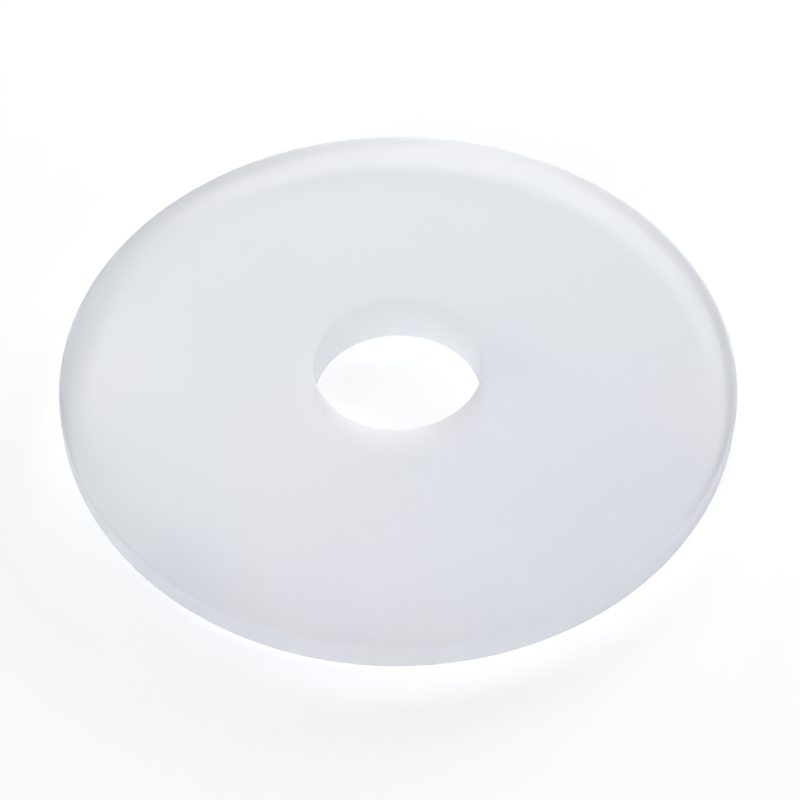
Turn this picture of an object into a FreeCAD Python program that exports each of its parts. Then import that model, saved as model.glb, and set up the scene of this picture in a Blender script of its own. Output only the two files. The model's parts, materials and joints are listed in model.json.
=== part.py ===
"""Rubber washer: one flat ring of soft silicone rubber with a round bore, moulded as one piece.

Its half section is revolved about the bore's axis: a flat lower face, an upright outer wall, an upper face that rolls
off towards the rim, and an upright bore. The edges are then rounded.

The frame is in millimetres. Z is the washer's axis, the face that it lies on is at Z = 0, and the origin is the
centre of that face.
"""
import FreeCAD, Part
import math
import os
import Sketcher

NODE = "washer"

# Driving dimensions: the name of each size, its value in millimetres and what it measures
DRIVING_SIZES = [
    ("outer_diameter", "40.0", "across the upright outer wall"),
    ("bore_diameter", "10.0", "across the straight wall of the bore"),
    ("thickness", "3.2", "between the two flat faces"),
    ("roll_off_width", "3.5", "from the outer wall in to where the upper face becomes flat"),
    ("roll_off_depth", "0.3", "how far the upper face has sunk where it meets the outer wall"),
    ("lower_rim_radius", "1.6", "moulded round from the outer wall into the lower face"),
    ("upper_rim_radius", "0.25", "softened corner from the outer wall into the upper face"),
    ("bore_edge_radius", "0.15", "softened corner at each end of the bore"),
]

# The most of the wall's height that each round may take, so that a thin washer keeps some upright wall
LARGEST_LOWER_SHARE = "0.6"
LARGEST_UPPER_SHARE = "0.3"

# How near an edge lies to its expected height and radius, in millimetres
EDGE_TOLERANCE = 1e-4

# The first and last point of a sketch line or arc, and the centre of an arc
START, END, CENTRE = 1, 2, 3


def make_sizes(doc):
    """Writes the driving dimensions into a spreadsheet, one row each, and gives every value its alias."""
    sheet = doc.addObject("Spreadsheet::Sheet", "Sizes")
    for row, (alias, value, meaning) in enumerate(DRIVING_SIZES, start=1):
        sheet.set(f"A{row}", meaning)
        sheet.set(f"B{row}", value)
        sheet.setAlias(f"B{row}", alias)
    doc.recompute()
    return sheet


def roll_off_radius(sheet):
    """Works out the radius of the arc that leaves the flat upper face smoothly and meets the wall at its depth."""
    width, depth = float(sheet.roll_off_width), float(sheet.roll_off_depth)
    return (width**2 + depth**2) / (2 * depth)


def draw_section(sketch, sheet):
    """Draws the half section: its floor, wall, roll-off, flat top and bore, counted 0 to 4 and joined end to end."""
    rim, bore = float(sheet.outer_diameter) / 2, float(sheet.bore_diameter) / 2
    top, width = float(sheet.thickness), float(sheet.roll_off_width)
    radius = roll_off_radius(sheet)
    shoulder = FreeCAD.Vector(rim, top - float(sheet.roll_off_depth), 0)
    crest = FreeCAD.Vector(rim - width, top, 0)
    foot = FreeCAD.Vector(rim, 0, 0)
    bore_top, bore_foot = FreeCAD.Vector(bore, top, 0), FreeCAD.Vector(bore, 0, 0)
    full_circle = Part.Circle(FreeCAD.Vector(rim - width, top - radius, 0), FreeCAD.Vector(0, 0, 1), radius)
    sketch.addGeometry(Part.LineSegment(bore_foot, foot), False)
    sketch.addGeometry(Part.LineSegment(foot, shoulder), False)
    roll_off = Part.ArcOfCircle(full_circle, math.pi / 2 - math.asin(width / radius), math.pi / 2)
    sketch.addGeometry(roll_off, False)
    sketch.addGeometry(Part.LineSegment(crest, bore_top), False)
    sketch.addGeometry(Part.LineSegment(bore_top, bore_foot), False)


def fix_section(sketch):
    """Joins the section's five edges and ties them to the driving dimensions."""
    floor, wall, roll_off, top, bore = range(5)
    origin = (-1, START)
    joints = [(floor, wall), (wall, roll_off), (roll_off, top), (top, bore), (bore, floor)]
    for first, second in joints:
        sketch.addConstraint(Sketcher.Constraint("Coincident", first, END, second, START))
    for level in (floor, top):
        sketch.addConstraint(Sketcher.Constraint("Horizontal", level))
    for upright in (wall, bore):
        sketch.addConstraint(Sketcher.Constraint("Vertical", upright))
    sketch.addConstraint(Sketcher.Constraint("PointOnObject", floor, START, -1))
    sketch.addConstraint(Sketcher.Constraint("Vertical", roll_off, CENTRE, roll_off, END))
    spans = [
        ("rim", "DistanceX", (*origin, wall, START), "Sizes.outer_diameter / 2"),
        ("hole", "DistanceX", (*origin, bore, END), "Sizes.bore_diameter / 2"),
        ("height", "DistanceY", (bore, END, bore, START), "Sizes.thickness"),
        ("width", "DistanceX", (roll_off, END, roll_off, START), "Sizes.roll_off_width"),
        ("depth", "DistanceY", (roll_off, START, roll_off, END), "Sizes.roll_off_depth"),
    ]
    for name, kind, ends, formula in spans:
        first, first_point, second, second_point = ends
        a, b = sketch.getPoint(first, first_point), sketch.getPoint(second, second_point)
        length = b.x - a.x if kind == "DistanceX" else b.y - a.y
        size = sketch.addConstraint(Sketcher.Constraint(kind, *ends, length))
        sketch.renameConstraint(size, name)
        sketch.setExpression(f"Constraints.{name}", formula)


def make_ring(body, sheet):
    """Revolves the half section about the washer's axis."""
    upright = next(plane for plane in body.Origin.OriginFeatures if plane.Role == "XZ_Plane")
    sketch = body.newObject("Sketcher::SketchObject", "HalfSection")
    sketch.AttachmentSupport = [(upright, "")]
    sketch.MapMode = "FlatFace"
    draw_section(sketch, sheet)
    fix_section(sketch)
    body.Document.recompute()
    ring = body.newObject("PartDesign::Revolution", "Ring")
    ring.Profile = sketch
    ring.ReferenceAxis = (sketch, ["V_Axis"])
    ring.Angle = 360
    body.Document.recompute()
    return ring


def circle_edge(feature, radius, height):
    """Returns the name of the feature's round edge that lies at this radius and height."""
    for number, edge in enumerate(feature.Shape.Edges, start=1):
        if not isinstance(edge.Curve, Part.Circle):
            continue
        off_radius = abs(edge.Curve.Radius - radius)
        off_height = abs(edge.Curve.Center.z - height)
        if max(off_radius, off_height) < EDGE_TOLERANCE:
            return f"Edge{number}"
    raise RuntimeError(f"{feature.Label} has no round edge of radius {radius} at height {height}")


def round_edges(body, base, name, places, size, share):
    """Rounds the edges of base at these (radius, height) places by a named size, within its share of the wall."""
    fillet = body.newObject("PartDesign::Fillet", name)
    fillet.Base = (base, [circle_edge(base, *place) for place in places])
    fillet.setExpression("Radius", f"min(Sizes.{size}; {share} * Sizes.thickness)")
    body.Document.recompute()
    return fillet


def make_washer(doc, sheet):
    """Builds the washer: the ring, then the rounds of its rim and of its bore."""
    body = doc.addObject("PartDesign::Body", NODE)
    body.Label = NODE
    rim = sheet.outer_diameter / 2
    bore = sheet.bore_diameter / 2
    top = sheet.thickness
    shoulder = top - sheet.roll_off_depth
    ring = make_ring(body, sheet)
    upper = round_edges(body, ring, "UpperRim", [(rim, shoulder)], "upper_rim_radius", LARGEST_UPPER_SHARE)
    lower = round_edges(body, upper, "LowerRim", [(rim, 0)], "lower_rim_radius", LARGEST_LOWER_SHARE)
    round_edges(body, lower, "BoreEnds", [(bore, 0), (bore, top)], "bore_edge_radius", LARGEST_UPPER_SHARE)
    return body


def check(doc, body):
    """Stops the build if any object failed to compute or the washer isn't one sound solid."""
    failed = [item.Label for item in doc.Objects if {"Invalid", "Error"} & set(item.State)]
    if failed:
        raise RuntimeError(f"These objects failed: {failed}")
    shape = body.Shape
    if shape.isNull() or not shape.isValid() or len(shape.Solids) != 1:
        raise RuntimeError(f"{body.Label} is not one valid solid")


doc = FreeCAD.newDocument("RubberWasher")
sizes = make_sizes(doc)
washer = make_washer(doc, sizes)
doc.recompute()
check(doc, washer)
os.makedirs("parts", exist_ok=True)
washer.Shape.exportStep(f"parts/{NODE}.step")
box = washer.Shape.optimalBoundingBox()
print(f"{NODE}: {washer.Shape.Volume:.1f} mm3, {box.XLength:.2f} x {box.YLength:.2f} x {box.ZLength:.2f} mm")
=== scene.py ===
"""Looks of a flat washer of translucent silicone rubber, lying on a white table in soft studio light."""
import json
import logging
import math
from dataclasses import dataclass, field
from enum import Enum
from typing import Any

import bmesh
import bpy
from mathutils import Matrix, Vector


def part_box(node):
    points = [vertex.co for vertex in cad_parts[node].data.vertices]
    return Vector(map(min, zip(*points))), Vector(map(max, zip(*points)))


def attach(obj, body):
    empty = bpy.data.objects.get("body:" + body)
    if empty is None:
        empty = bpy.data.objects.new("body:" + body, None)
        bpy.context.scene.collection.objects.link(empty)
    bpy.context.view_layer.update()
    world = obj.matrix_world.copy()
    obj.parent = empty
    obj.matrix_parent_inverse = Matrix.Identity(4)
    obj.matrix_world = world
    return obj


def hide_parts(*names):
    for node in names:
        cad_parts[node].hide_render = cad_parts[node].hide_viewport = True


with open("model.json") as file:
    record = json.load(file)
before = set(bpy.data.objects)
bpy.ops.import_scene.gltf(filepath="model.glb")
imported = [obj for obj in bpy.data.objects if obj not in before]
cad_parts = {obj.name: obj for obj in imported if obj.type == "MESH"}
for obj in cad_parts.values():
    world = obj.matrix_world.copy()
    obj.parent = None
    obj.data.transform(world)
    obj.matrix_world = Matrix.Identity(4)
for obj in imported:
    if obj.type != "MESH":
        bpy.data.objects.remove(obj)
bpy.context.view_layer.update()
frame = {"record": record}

MM = 0.001
LOG = logging.getLogger("washer")

Colour = tuple[float, float, float, float]

# The sRGB curve: straight up to its knee, and a power above it
SRGB_KNEE, SRGB_SLOPE, SRGB_OFFSET, SRGB_POWER = 0.04045, 12.92, 0.055, 2.4

# The Mix node's sockets go by number, because several of them share a name
FACTOR, FLOAT_A, FLOAT_B, COLOUR_A, COLOUR_B = 0, 2, 3, 6, 7
MIXED_FLOAT, MIXED_COLOUR = 0, 2

# How far apart the section's points may be and still be one, or level with each other, in metres
MERGE_DISTANCE = 1e-7
LEVEL_TOLERANCE = 1e-9

# The least length of a flat face in the section, which is more than any step of a rounded corner, in metres
SHORTEST_FACE = 1 * MM

# How often light may be passed on, through the clear body and by matt or glossy surfaces
CLEAR_BOUNCES = 48
SURFACE_BOUNCES = 16


def linear(hex_colour: str) -> Colour:
    """Turns an sRGB hex colour into Blender's linear colour.

    Args:
        hex_colour: six hex digits, such as "e6eaee".

    Returns:
        Red, green, blue and an alpha of 1.
    """
    channels = [int(hex_colour[i : i + 2], 16) / 255 for i in (0, 2, 4)]
    red, green, blue = (
        c / SRGB_SLOPE if c <= SRGB_KNEE else ((c + SRGB_OFFSET) / (1 + SRGB_OFFSET)) ** SRGB_POWER
        for c in channels
    )
    return red, green, blue, 1.0


def add_node(
    tree: bpy.types.NodeTree,
    kind: str,
    settings: dict[str, Any] | None = None,
    inputs: dict[str | int, Any] | None = None,
) -> bpy.types.Node:
    """Adds a shader node with its settings, input values and links.

    Args:
        tree: the node tree that it goes into.
        kind: the node's type, such as "ShaderNodeTexNoise".
        settings: attributes of the node.
        inputs: for each input, by name or number, a value or the socket that feeds it.

    Returns:
        The new node.
    """
    node = tree.nodes.new(kind)
    for name, value in (settings or {}).items():
        setattr(node, name, value)
    for name, value in (inputs or {}).items():
        if isinstance(value, bpy.types.NodeSocket):
            tree.links.new(value, node.inputs[name])
        else:
            node.inputs[name].default_value = value
    return node


def bare_material(name: str) -> bpy.types.Material:
    """Makes a material whose node tree is still empty.

    Args:
        name: what the material is called.

    Returns:
        The new material.
    """
    material = bpy.data.materials.new(name)
    material.use_nodes = True
    material.node_tree.nodes.clear()
    return material


def finished_object(name: str, shape: bmesh.types.BMesh, material: bpy.types.Material) -> bpy.types.Object:
    """Turns a modelled shape into an object of one material, at the origin of the scene.

    Args:
        name: what the object and its mesh are called.
        shape: the modelled shape, which is freed.
        material: what it is made of.

    Returns:
        The new object.
    """
    mesh = bpy.data.meshes.new(name)
    shape.to_mesh(mesh)
    shape.free()
    mesh.materials.append(material)
    piece = bpy.data.objects.new(name, mesh)
    bpy.context.collection.objects.link(piece)
    return piece


def seen_light(tree: bpy.types.NodeTree, direct: float, mirrored: float) -> bpy.types.NodeSocket:
    """Makes the strength of a light that is seen but lights no matt surface.

    Args:
        tree: the node tree that it goes into.
        direct: its strength for the camera.
        mirrored: its strength in reflections and through clear things.

    Returns:
        The socket that gives the strength.
    """
    ray = add_node(tree, "ShaderNodeLightPath")
    indirect = add_node(
        tree,
        "ShaderNodeMath",
        {"operation": "MAXIMUM"},
        {0: ray.outputs["Is Glossy Ray"], 1: ray.outputs["Is Transmission Ray"]},
    )
    dimmed = add_node(tree, "ShaderNodeMath", {"operation": "MULTIPLY"}, {0: indirect.outputs[0], 1: mirrored})
    strength = add_node(
        tree,
        "ShaderNodeMath",
        {"operation": "MULTIPLY_ADD"},
        {0: ray.outputs["Is Camera Ray"], 1: direct, 2: dimmed.outputs[0]},
    )
    return strength.outputs[0]


class TintAndPaintedLight(Enum):
    """Patches laid over the rubber's colour: centre and radius in millimetres, and the tint at the centre.

    Most of them are painted light and shade. Painted shade darkens the front right, the near left rim and the skin
    right of the bore. Painted light brightens the skin left of the bore and along the left and right rims. The front
    patch only makes the colour a little more violet. The last two are specks that the mould left in the skin.
    """

    # Painted shade: the front right is darker and bluer
    RIGHT = (12.0, -10.5, 17.0, "f8f9ff")
    FRONT = (-3.5, -15.5, 10.0, "fafaff")
    # Painted light: the skin left of and in front of the bore is lighter
    LEFT_OF_BORE_PAINTED_LIGHT = (-6.0, -5.0, 7.5, "fdfdfe")
    # Painted shade: the skin right of the bore is darker
    RIGHT_OF_BORE_PAINTED_SHADE = (6.2, 1.4, 5.0, "f5f7fc")
    # Painted light: lightens the shaded band along the left rim
    LEFT_RIM_PAINTED_LIGHT = (-16.8, 1.0, 7.0, "fdfeff")
    # Painted light: lightens the shaded band along the right rim
    RIGHT_RIM_PAINTED_LIGHT = (18.0, -2.5, 5.0, "fcfcff")
    # Painted shade: a darker arc just inside the near left rim
    NEAR_LEFT_RIM_PAINTED_SHADE = (-12.0, -14.5, 5.0, "f4f6fb")
    DARK_SPECK = (-7.68, -5.81, 0.1, "e0e0e3")
    GREY_SPECK = (2.98, -7.75, 0.09, "dadbde")

    @property
    def is_speck(self) -> bool:
        """Says whether this is a speck, whose edge stays round."""
        return self in (TintAndPaintedLight.DARK_SPECK, TintAndPaintedLight.GREY_SPECK)

    def over(
        self,
        tree: bpy.types.NodeTree,
        place: bpy.types.NodeSocket,
        below: bpy.types.NodeSocket | Colour,
    ) -> bpy.types.NodeSocket:
        """Lays the patch over the colour below it.

        Args:
            tree: the material's node tree.
            place: the coordinates in the washer's plane.
            below: the colour that the patch fades into, as a socket or a linear colour.

        Returns:
            The socket that gives the mixed colour.
        """
        across, along, radius, tint = self.value
        off = add_node(
            tree,
            "ShaderNodeVectorMath",
            {"operation": "DISTANCE"},
            {0: place, 1: (across * MM, along * MM, 0.0)},
        )
        share = add_node(
            tree,
            "ShaderNodeMapRange",
            {"interpolation_type": "SMOOTHSTEP"},
            {
                "Value": off.outputs["Value"],
                "From Min": radius * MM,
                "From Max": 0.0,
                "To Min": 0.0,
                "To Max": 1.0,
            },
        )
        mix = add_node(
            tree,
            "ShaderNodeMix",
            {"data_type": "RGBA"},
            {FACTOR: share.outputs[0], COLOUR_A: below, COLOUR_B: linear(tint)},
        )
        return mix.outputs[MIXED_COLOUR]


@dataclass(frozen=True)
class SiliconeRubber:
    """Translucent silicone rubber, compression moulded between smooth plates and punched through.

    It bends light like other silicones, and fine silica in it scatters much of what passes, so the body looks milky
    and pale blue while its edges still carry light and shade. The plates leave a satin face, the mould's parting
    leaves a duller rim, and the punch leaves a rough bore, which glows below the hole where it is seen through the
    body.
    """

    name: str = "silicone_rubber_translucent_moulded"
    body_hex: str = "f9fbfe"
    bore_hex: str = "fdfdfe"
    ior: float = 1.41
    face_roughness: float = 0.3
    rim_roughness: float = 0.5
    bore_roughness: float = 0.9
    # The punched skin ends this far from the axis, just outside the bore's wall
    punch_reach_mm: float = 5.1
    # Skin is dull like the rim up to the first of these upward slants, and satin like the face from the second
    rim_slant: float = 0.3
    face_slant: float = 0.9
    # The share of light that passes clear, into the body and out of it again
    clear_share: float = 0.4
    inner_clear_share: float = 1.0
    scatter_share: float = 1.0
    scatter_depth_mm: float = 8.0
    scatter_spread: tuple[float, float, float] = (1.0, 1.0, 1.0)
    absorbed_hex: str = "e8f0f8"
    absorption_per_mm: float = 0.03
    # The plates aren't quite flat, so the skin has long, shallow waves
    skin_wave_mm: float = 6.0
    skin_wave_height_mm: float = 0.02
    skin_wave_detail: float = 2.0
    # The edges of the tint patches and of the painted light and shade are pushed about by wisps of this length, as
    # far as this reach
    patch_wisp_mm: float = 7.0
    patch_wisp_reach_mm: float = 5.0
    patch_wisp_detail: float = 3.0

    def tint(self, tree: bpy.types.NodeTree, flat: bpy.types.NodeSocket) -> bpy.types.NodeSocket:
        """Makes the body's colour: its own, under patches of tint and of painted light and shade, and another inside
        the bore.

        Args:
            tree: the material's node tree.
            flat: the coordinates in the washer's plane.

        Returns:
            The socket that gives the colour.
        """
        drawn_out = self.wisps(tree, flat)
        colour: bpy.types.NodeSocket | Colour = linear(self.body_hex)
        for patch in TintAndPaintedLight:
            colour = patch.over(tree, flat if patch.is_speck else drawn_out, colour)
        mix = add_node(
            tree,
            "ShaderNodeMix",
            {"data_type": "RGBA"},
            {FACTOR: self.punched(tree, flat), COLOUR_A: colour, COLOUR_B: linear(self.bore_hex)},
        )
        return mix.outputs[MIXED_COLOUR]

    def wisps(self, tree: bpy.types.NodeTree, flat: bpy.types.NodeSocket) -> bpy.types.NodeSocket:
        """Makes the coordinates that draw the edges of the tint patches and of the painted light and shade out into
        wisps.

        Args:
            tree: the material's node tree.
            flat: the coordinates in the washer's plane.

        Returns:
            The socket that gives the moved coordinates.
        """
        noise = add_node(
            tree,
            "ShaderNodeTexNoise",
            inputs={"Vector": flat, "Scale": 1 / (self.patch_wisp_mm * MM), "Detail": self.patch_wisp_detail},
        )
        push = add_node(
            tree,
            "ShaderNodeVectorMath",
            {"operation": "SUBTRACT"},
            {0: noise.outputs["Color"], 1: (0.5, 0.5, 0.5)},
        )
        reach = self.patch_wisp_reach_mm * MM
        moved = add_node(
            tree,
            "ShaderNodeVectorMath",
            {"operation": "MULTIPLY_ADD"},
            {0: push.outputs[0], 1: (reach, reach, 0.0), 2: flat},
        )
        return moved.outputs[0]

    def punched(self, tree: bpy.types.NodeTree, flat: bpy.types.NodeSocket) -> bpy.types.NodeSocket:
        """Makes the mask of the skin that the punch left, which is 1 inside the bore.

        Args:
            tree: the material's node tree.
            flat: the coordinates in the washer's plane.

        Returns:
            The socket that gives the mask.
        """
        off_axis = add_node(tree, "ShaderNodeVectorMath", {"operation": "LENGTH"}, {0: flat})
        mask = add_node(
            tree,
            "ShaderNodeMath",
            {"operation": "LESS_THAN"},
            {0: off_axis.outputs["Value"], 1: self.punch_reach_mm * MM},
        )
        return mask.outputs[0]

    def finish(self, tree: bpy.types.NodeTree, flat: bpy.types.NodeSocket) -> bpy.types.NodeSocket:
        """Makes the skin's roughness: satin on level skin, duller on upright skin and rough inside the bore.

        Args:
            tree: the material's node tree.
            flat: the coordinates in the washer's plane.

        Returns:
            The socket that gives the roughness.
        """
        facing = add_node(tree, "ShaderNodeTexCoord").outputs["Normal"]
        upward = add_node(tree, "ShaderNodeSeparateXYZ", inputs={0: facing}).outputs["Z"]
        slant = add_node(tree, "ShaderNodeMath", {"operation": "ABSOLUTE"}, {0: upward})
        moulded = add_node(
            tree,
            "ShaderNodeMapRange",
            inputs={
                "Value": slant.outputs[0],
                "From Min": self.rim_slant,
                "From Max": self.face_slant,
                "To Min": self.rim_roughness,
                "To Max": self.face_roughness,
            },
        )
        skin = add_node(
            tree,
            "ShaderNodeMix",
            {"data_type": "FLOAT"},
            {FACTOR: self.punched(tree, flat), FLOAT_A: moulded.outputs[0], FLOAT_B: self.bore_roughness},
        )
        return skin.outputs[MIXED_FLOAT]

    def skin(self, tree: bpy.types.NodeTree, place: bpy.types.NodeSocket) -> bpy.types.NodeSocket:
        """Makes the skin's long, shallow waves.

        Args:
            tree: the material's node tree.
            place: the coordinates in the washer.

        Returns:
            The socket that gives the direction that the skin faces.
        """
        waves = add_node(
            tree,
            "ShaderNodeTexNoise",
            inputs={"Vector": place, "Scale": 1 / (self.skin_wave_mm * MM), "Detail": self.skin_wave_detail},
        )
        bump = add_node(
            tree,
            "ShaderNodeBump",
            inputs={"Height": waves.outputs["Fac"], "Distance": self.skin_wave_height_mm * MM, "Strength": 1.0},
        )
        return bump.outputs["Normal"]

    def build(self) -> bpy.types.Material:
        """Makes the material.

        Returns:
            The material, reading Object coordinates.
        """
        material = bare_material(self.name)
        tree = material.node_tree
        place = add_node(tree, "ShaderNodeTexCoord").outputs["Object"]
        flattened = add_node(tree, "ShaderNodeVectorMath", {"operation": "MULTIPLY"}, {0: place, 1: (1.0, 1.0, 0.0)})
        flat = flattened.outputs[0]
        side = add_node(tree, "ShaderNodeNewGeometry")
        clear = add_node(
            tree,
            "ShaderNodeMix",
            {"data_type": "FLOAT"},
            {FACTOR: side.outputs["Backfacing"], FLOAT_A: self.clear_share, FLOAT_B: self.inner_clear_share},
        )
        body = add_node(
            tree,
            "ShaderNodeBsdfPrincipled",
            inputs={
                "Base Color": self.tint(tree, flat),
                "Roughness": self.finish(tree, flat),
                "IOR": self.ior,
                "Transmission Weight": clear.outputs[MIXED_FLOAT],
                "Subsurface Weight": self.scatter_share,
                "Subsurface Radius": self.scatter_spread,
                "Subsurface Scale": self.scatter_depth_mm * MM,
                "Normal": self.skin(tree, place),
            },
        )
        absorption = add_node(
            tree,
            "ShaderNodeVolumeAbsorption",
            inputs={"Color": linear(self.absorbed_hex), "Density": self.absorption_per_mm / MM},
        )
        add_node(
            tree,
            "ShaderNodeOutputMaterial",
            inputs={"Surface": body.outputs["BSDF"], "Volume": absorption.outputs["Volume"]},
        )
        return material


@dataclass
class Washer:
    """The moulded ring: its half section, spun about the bore's axis.

    The outer radius and thickness are the CAD node's, and the bore is its mount's.
    """

    node: str = "washer"
    lower_rim_radius_mm: float = 1.6
    upper_rim_radius_mm: float = 0.25
    bore_edge_radius_mm: float = 0.15
    roll_off_mm: float = 0.3
    roll_off_width_mm: float = 3.5
    turn_steps: int = 288
    round_steps: int = 8
    face_steps: int = 60
    outer_radius: float = field(init=False)
    bore_radius: float = field(init=False)
    thickness: float = field(init=False)

    def __post_init__(self) -> None:
        """Reads the sizes that the frame holds."""
        low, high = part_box(self.node)
        self.outer_radius = high.x
        self.thickness = high.z - low.z
        bore = next(mount for mount in frame["record"]["mounts"] if mount["kind"] == "bore")
        self.bore_radius = bore["dims"]["r_mm"] * MM

    def section(self, shape: bmesh.types.BMesh) -> None:
        """Draws the half section in the XZ plane: a rectangle with each corner rounded to its own radius.

        Its two flat faces are cut into steps, so that the upper one can bend.

        Args:
            shape: the empty shape that it is drawn in.
        """
        corners = {
            (self.bore_radius, 0.0): self.bore_edge_radius_mm,
            (self.outer_radius, 0.0): self.lower_rim_radius_mm,
            (self.outer_radius, self.thickness): self.upper_rim_radius_mm,
            (self.bore_radius, self.thickness): self.bore_edge_radius_mm,
        }
        verts = [shape.verts.new((radius, 0.0, height)) for radius, height in corners]
        shape.faces.new(verts)
        for vert, rounding in zip(verts, corners.values()):
            bmesh.ops.bevel(
                shape,
                geom=[vert],
                offset=rounding * MM,
                offset_type="OFFSET",
                affect="VERTICES",
                segments=self.round_steps,
                profile=0.5,
                material=-1,
            )
        bmesh.ops.delete(shape, geom=shape.faces[:], context="FACES_ONLY")
        level = [edge for edge in shape.edges if self.is_flat_face(edge)]
        bmesh.ops.subdivide_edges(shape, edges=level, cuts=self.face_steps)

    @staticmethod
    def is_flat_face(edge: bmesh.types.BMEdge) -> bool:
        """Says whether an edge of the section is one of its two flat faces."""
        first, last = (vert.co for vert in edge.verts)
        return abs(first.z - last.z) < LEVEL_TOLERANCE and abs(first.x - last.x) > SHORTEST_FACE

    def fall(self, radius: float) -> float:
        """Says how far the upper face has sunk, along the arc that leaves it smoothly and ends at the rim.

        Args:
            radius: the distance from the bore's axis, in metres.

        Returns:
            The depth below the flat part of the face, in metres.
        """
        width, depth = self.roll_off_width_mm * MM, self.roll_off_mm * MM
        bend = (width**2 + depth**2) / (2 * depth)
        along = min(width, max(0.0, radius - (self.outer_radius - width)))
        return bend - math.sqrt(bend**2 - along**2)

    def build(self, material: bpy.types.Material) -> bpy.types.Object:
        """Models the washer and dresses it.

        Args:
            material: the rubber.

        Returns:
            The finished object, which stands for the CAD node.
        """
        shape = bmesh.new()
        self.section(shape)
        for vert in shape.verts:
            if vert.co.z > self.thickness / 2:
                vert.co.z -= self.fall(vert.co.x)
        bmesh.ops.spin(
            shape,
            geom=shape.verts[:] + shape.edges[:],
            cent=(0, 0, 0),
            axis=(0, 0, 1),
            angle=math.tau,
            steps=self.turn_steps,
            use_merge=True,
        )
        bmesh.ops.remove_doubles(shape, verts=shape.verts, dist=MERGE_DISTANCE)
        bmesh.ops.recalc_face_normals(shape, faces=shape.faces)
        for face in shape.faces:
            face.smooth = True
        piece = finished_object("moulded_washer", shape, material)
        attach(piece, "root")
        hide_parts(self.node)
        return piece


@dataclass(frozen=True)
class WhiteTable:
    """A table top of uncoated white paper, which is matt, just under the washer.

    It glows a little for the camera and in mirrored and clear things, and lights nothing matt.
    """

    width: float = 1.0
    gap_mm: float = 0.02
    paper_hex: str = "fafafa"
    glow: float = 0.45

    def build(self) -> bpy.types.Object:
        """Makes the table.

        Returns:
            The floor object, which isn't part of the washer.
        """
        shape = bmesh.new()
        lowered = Matrix.Translation((0, 0, -self.gap_mm * MM))
        bmesh.ops.create_grid(shape, x_segments=1, y_segments=1, size=self.width / 2, matrix=lowered)
        table = finished_object("table", shape, self.paper())
        return table

    def paper(self) -> bpy.types.Material:
        """Makes the matt paper.

        Returns:
            The material, which can be seen through from below.
        """
        material = bare_material("matt_white_paper")
        tree = material.node_tree
        matt = add_node(tree, "ShaderNodeBsdfDiffuse", inputs={"Color": linear(self.paper_hex)})
        glow = add_node(tree, "ShaderNodeEmission", inputs={"Strength": seen_light(tree, self.glow, self.glow)})
        bright = add_node(tree, "ShaderNodeAddShader", inputs={0: matt.outputs[0], 1: glow.outputs[0]})
        side = add_node(tree, "ShaderNodeNewGeometry")
        open_below = add_node(tree, "ShaderNodeBsdfTransparent")
        sheet = add_node(
            tree,
            "ShaderNodeMixShader",
            inputs={0: side.outputs["Backfacing"], 1: bright.outputs[0], 2: open_below.outputs[0]},
        )
        add_node(tree, "ShaderNodeOutputMaterial", inputs={"Surface": sheet.outputs[0]})
        return material


class Softbox(Enum):
    """The studio's round softboxes: azimuth and elevation in degrees, distance and width in metres, brightness.

    A brightness of 1 is that of white paper in the photograph. The key is low at the back right, so that the far rim
    catches it, and a small box hangs near the back left, so that the face brightens towards it.
    """

    KEY = (50, 12, 0.6, 0.38, 3.9)
    BACK = (95, 35, 0.6, 0.38, 1.85)
    LOW_BACK = (85, 10, 0.6, 0.3, 1.1)
    LOW_BACK_LEFT = (120, 10, 0.6, 0.3, 0.7)
    NEAR_LEFT = (130, 50, 0.22, 0.14, 0.7)
    TOP = (90, 88, 0.6, 0.38, 1.15)
    RIGHT = (0, 50, 0.6, 0.38, 0.9)
    LOW_RIGHT = (0, 10, 0.6, 0.3, 2.65)
    FRONT_LEFT = (247, 30, 0.6, 0.38, 2.65)

    def build(self) -> None:
        """Hangs the softbox so that it faces the washer."""
        azimuth, elevation, distance, width, brightness = self.value
        lamp = bpy.data.lights.new(self.name.lower(), "AREA")
        lamp.shape = "DISK"
        lamp.size = width
        # A disc of this power is as bright as its brightness says, whatever its width
        lamp.energy = brightness * (math.pi * width / 2) ** 2
        turn, rise = math.radians(azimuth), math.radians(elevation)
        towards = Vector((math.cos(rise) * math.cos(turn), math.cos(rise) * math.sin(turn), math.sin(rise)))
        holder = bpy.data.objects.new(self.name.lower(), lamp)
        holder.location = towards * distance
        holder.rotation_euler = towards.to_track_quat("Z", "Y").to_euler()
        bpy.context.collection.objects.link(holder)


@dataclass(frozen=True)
class StudioRoom:
    """The pale room round the table: white for the camera, dimmer where the washer mirrors it or shows it."""

    wall_hex: str = "ffffff"
    wall: float = 1.0
    mirrored: float = 0.15

    def build(self) -> None:
        """Sets the world."""
        world = bpy.data.worlds.new("studio_room")
        world.use_nodes = True
        tree = world.node_tree
        tree.nodes.clear()
        light = seen_light(tree, self.wall, self.mirrored)
        room = add_node(tree, "ShaderNodeBackground", inputs={"Color": linear(self.wall_hex), "Strength": light})
        add_node(tree, "ShaderNodeOutputWorld", inputs={"Surface": room.outputs[0]})
        bpy.context.scene.world = world


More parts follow.
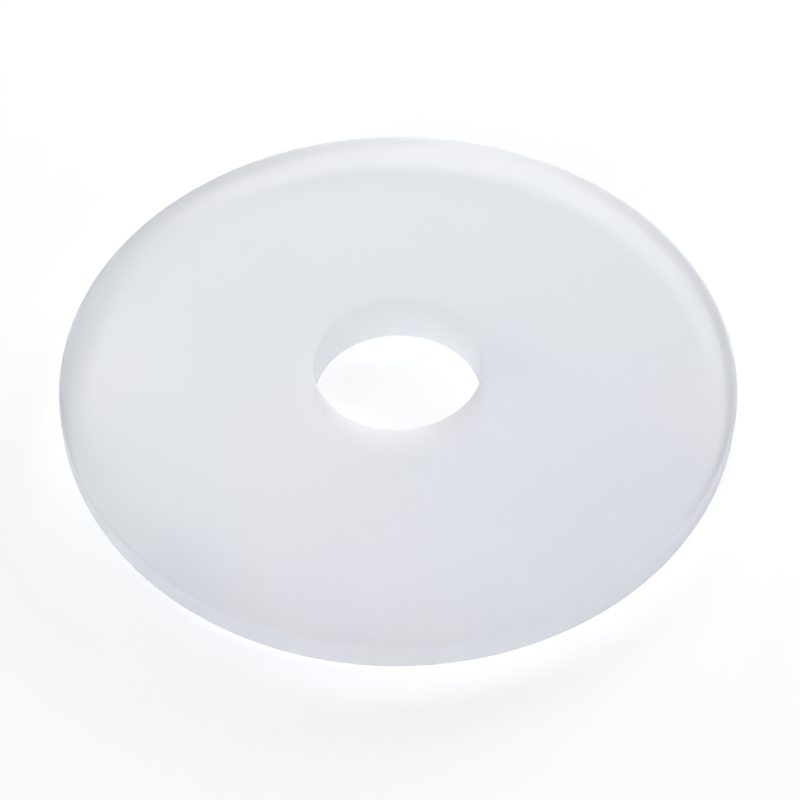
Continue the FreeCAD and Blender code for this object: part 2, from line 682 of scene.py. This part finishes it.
@dataclass(frozen=True)
class ProductCamera:
    """The photograph's camera: a long lens that looks down on the washer from the front."""

    focal_pixels: float = 2236.0
    frame_pixels: float = 800.0
    sensor_mm: float = 36.0
    nearest_mm: float = 1.0
    distance_in_radii: float = 6.723
    elevation_degrees: float = 49.39
    roll_degrees: float = -0.4665
    centre_pixel: tuple[float, float] = (398.2, 398.3)

    def build(self, radius: float) -> None:
        """Places the camera.

        Args:
            radius: the washer's outer radius, in metres, from which its distance follows.
        """
        camera = bpy.data.cameras.new("product_camera")
        camera.sensor_width = self.sensor_mm
        camera.lens = self.focal_pixels / self.frame_pixels * self.sensor_mm
        half = self.frame_pixels / 2
        camera.shift_x = (half - self.centre_pixel[0]) / self.frame_pixels
        camera.shift_y = (self.centre_pixel[1] - half) / self.frame_pixels
        camera.clip_start = self.nearest_mm * MM
        elevation = math.radians(self.elevation_degrees)
        back = Vector((0, -math.cos(elevation), math.sin(elevation)))
        right = Vector((1, 0, 0))
        turn = Matrix((right, back.cross(right), back)).transposed()
        turn = turn @ Matrix.Rotation(math.radians(self.roll_degrees), 3, "Z")
        place = Matrix.Translation(back * radius * self.distance_in_radii)
        holder = bpy.data.objects.new("product_camera", camera)
        holder.matrix_world = place @ turn.to_4x4()
        bpy.context.collection.objects.link(holder)
        bpy.context.scene.camera = holder


def follow_light() -> None:
    """Lets light bounce often enough to run the length of the body, and keeps it sharp after matt surfaces."""
    cycles = bpy.context.scene.cycles
    cycles.max_bounces = CLEAR_BOUNCES
    cycles.transmission_bounces = CLEAR_BOUNCES
    cycles.diffuse_bounces = SURFACE_BOUNCES
    cycles.glossy_bounces = SURFACE_BOUNCES
    cycles.blur_glossy = 0.0


def main() -> None:
    """Builds the washer, then the studio round it."""
    logging.basicConfig(level=logging.INFO, format="%(name)s: %(message)s")
    bpy.context.scene.view_settings.view_transform = "Standard"
    washer = Washer()
    for piece in (washer.build(SiliconeRubber().build()), WhiteTable().build()):
        LOG.info("%s: %d faces", piece.name, len(piece.data.polygons))
    StudioRoom().build()
    for softbox in Softbox:
        softbox.build()
    ProductCamera().build(washer.outer_radius)
    follow_light()


if __name__ == "__main__":
    main()
